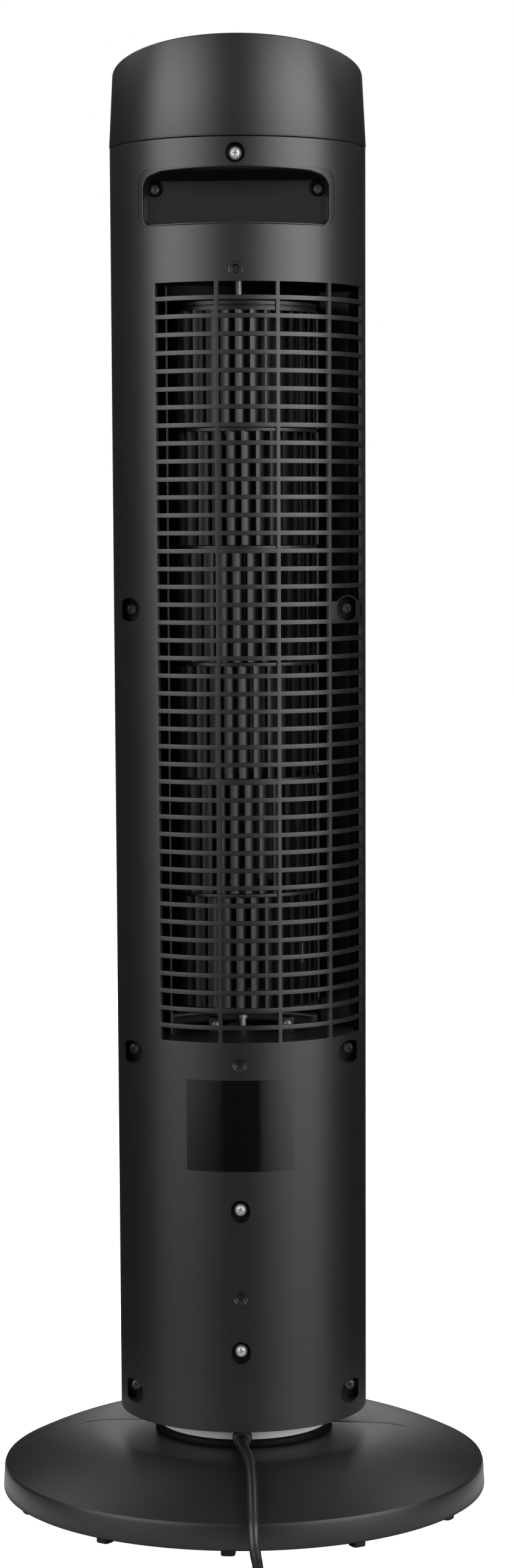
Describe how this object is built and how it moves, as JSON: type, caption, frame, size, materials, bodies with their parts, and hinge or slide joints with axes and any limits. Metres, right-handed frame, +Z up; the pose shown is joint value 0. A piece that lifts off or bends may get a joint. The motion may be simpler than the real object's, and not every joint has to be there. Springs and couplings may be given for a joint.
{
  "type": "tower fan",
  "caption": "Tall round tower fan with a cross-flow impeller behind a ribbed rear inlet grille, a grip recess, a slanted top panel and a round base it swings on.",
  "frame": {"origin": "centre of the base at the height its feet stand on", "axes": "+Z up along the column; the air leaves towards -Y; the inlet grille, the grip and the lead face +Y"},
  "size_m": [0.3092, 0.4997, 0.9031],
  "materials": {
    "body_plastic": "fine grained black",
    "gloss_plastic": "glossy black",
    "impeller_plastic": "satin dark grey",
    "grey_plastic": "satin light grey",
    "rubber": "soft black",
    "steel": "bright plated steel",
    "black_steel": "blackened steel",
    "motor_steel": "dark painted steel",
    "board": "green circuit board"
  },
  "bodies": {
    "base": {"base_rear_half": "body_plastic", "base_front_half": "body_plastic", "base_collar": "body_plastic", "turntable_hub": "grey_plastic", "lock_nut": "grey_plastic", "fixed_gear": "grey_plastic", "foot_01": "rubber", "foot_02": "rubber", "foot_03": "rubber", "foot_04": "rubber", "foot_05": "rubber", "foot_06": "rubber", "foot_07": "rubber", "foot_08": "rubber", "foot_09": "rubber", "foot_10": "rubber", "strain_relief": "rubber", "power_cord": "rubber", "cord_coil": "rubber", "power_plug": "rubber"},
    "column": {"rear_casing": "body_plastic", "front_casing": "body_plastic", "outlet_grille": "body_plastic", "grip_pocket": "body_plastic", "casing_screw_top": "steel", "casing_screw_middle": "steel", "casing_screw_bottom": "steel", "casing_screw_left_upper": "black_steel", "casing_screw_right_upper": "black_steel", "casing_screw_left_middle": "black_steel", "casing_screw_right_middle": "black_steel", "casing_screw_left_lower": "black_steel", "casing_screw_right_lower": "black_steel", "grip_screw_left": "black_steel", "grip_screw_right": "black_steel", "label_plate": "gloss_plastic", "scroll_wall": "body_plastic", "tongue_wall": "body_plastic", "duct_top_plate": "body_plastic", "duct_bottom_plate": "body_plastic", "upper_bearing": "rubber", "fan_motor": "motor_steel", "top_cap": "body_plastic", "control_panel": "gloss_plastic", "control_board": "board", "column_floor": "body_plastic", "swing_motor": "motor_steel"},
    "impeller": {"impeller_segment_1": "impeller_plastic", "impeller_segment_2": "impeller_plastic", "impeller_segment_3": "impeller_plastic", "impeller_segment_4": "impeller_plastic", "impeller_segment_5": "impeller_plastic", "impeller_segment_6": "impeller_plastic", "impeller_top_shaft": "steel", "impeller_drive_shaft": "impeller_plastic"},
    "pinion": {"swing_pinion": "grey_plastic"},
    "power_button": {"power_button": "gloss_plastic"},
    "speed_button": {"speed_button": "gloss_plastic"},
    "swing_button": {"swing_button": "gloss_plastic"},
    "timer_button": {"timer_button": "gloss_plastic"}
  },
  "joints": [
    {"name": "column_swing", "type": "hinge", "parent": "base", "child": "column", "pos_m": [0, 0, 0.0603], "axis": [0, 0, 1], "range_deg": [-40, 40]},
    {"name": "impeller_spin", "type": "hinge", "parent": "column", "child": "impeller", "pos_m": [0, 0, 0.3143], "axis": [0, 0, 1], "continuous": true},
    {"name": "pinion_turn", "type": "hinge", "parent": "column", "child": "pinion", "pos_m": [-0.03084, 0.02159, 0.064], "axis": [0, 0, 1], "range_deg": [-162, 162]},
    {"name": "power_button_press", "type": "slide", "parent": "column", "child": "power_button", "axis": [0, -0.2113, 0.9774], "range_m": [-0.0012, 0], "stiffness_N_per_m": 800, "springref_m": 0.0004},
    {"name": "speed_button_press", "type": "slide", "parent": "column", "child": "speed_button", "axis": [0, -0.2113, 0.9774], "range_m": [-0.0012, 0], "stiffness_N_per_m": 800, "springref_m": 0.0004},
    {"name": "swing_button_press", "type": "slide", "parent": "column", "child": "swing_button", "axis": [0, -0.2113, 0.9774], "range_m": [-0.0012, 0], "stiffness_N_per_m": 800, "springref_m": 0.0004},
    {"name": "timer_button_press", "type": "slide", "parent": "column", "child": "timer_button", "axis": [0, -0.2113, 0.9774], "range_m": [-0.0012, 0], "stiffness_N_per_m": 800, "springref_m": 0.0004}
  ],
  "couplings": [
    {"joint": "pinion_turn", "follows": "column_swing", "ratio": 4}
  ]
}
